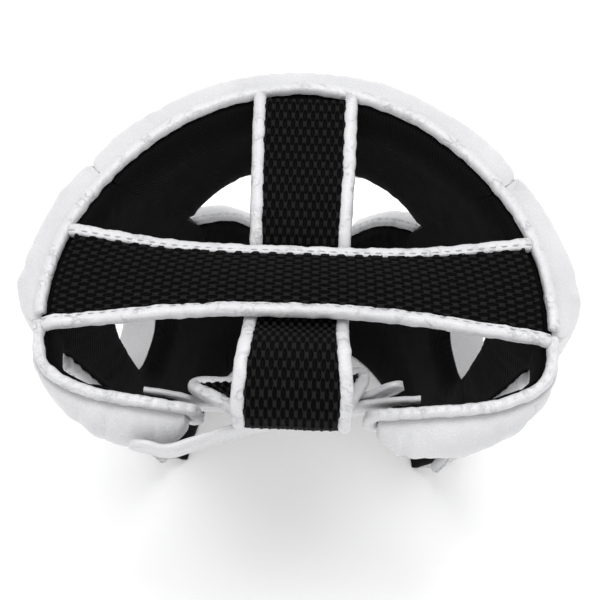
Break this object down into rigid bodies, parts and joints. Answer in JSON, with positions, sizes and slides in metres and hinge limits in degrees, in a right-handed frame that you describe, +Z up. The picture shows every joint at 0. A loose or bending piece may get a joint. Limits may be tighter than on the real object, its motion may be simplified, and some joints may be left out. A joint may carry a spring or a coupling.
{
  "type": "sparring head guard",
  "caption": "Padded leather sparring head guard with open face, ear holes, crossed mesh crown straps and a rear strap closure.",
  "frame": {"origin": "centre of the guard's box in plan, on the flat surface that the jaws stand on", "axes": "+Z up, +Y out of the face opening, +X to the right as seen from behind the guard"},
  "size_m": [0.2184, 0.1792, 0.1901],
  "materials": {
    "white_leather": "smooth coated leather, satin",
    "black_lining": "fine ribbed lining cloth, matt",
    "black_mesh": "open spacer mesh, matt"
  },
  "bodies": {
    "root": {"forehead_pad": "white_leather", "forehead_lining": "black_lining", "side_pad_right": "white_leather", "side_pad_left": "white_leather", "side_lining_right": "black_lining", "side_lining_left": "black_lining", "cheek_pad_right": "white_leather", "cheek_pad_left": "white_leather", "cheek_lining_right": "black_lining", "cheek_lining_left": "black_lining", "rear_pad_right": "white_leather", "rear_pad_left": "white_leather", "rear_lining_right": "black_lining", "rear_lining_left": "black_lining", "forehead_binding": "white_leather", "brow_binding": "white_leather", "side_binding_right": "white_leather", "side_binding_left": "white_leather", "cheek_binding_right": "white_leather", "cheek_binding_left": "white_leather", "neck_binding_right": "white_leather", "neck_binding_left": "white_leather", "rear_binding_right": "white_leather", "rear_binding_left": "white_leather", "crown_strap": "black_mesh", "crown_binding_right": "white_leather", "crown_binding_left": "white_leather", "cross_strap": "black_mesh", "cross_binding_front": "white_leather", "cross_binding_rear": "white_leather", "rear_flap": "black_mesh", "flap_binding": "white_leather", "outer_closure_strap": "white_leather", "inner_closure_strap": "white_leather"}
  },
  "joints": []
}
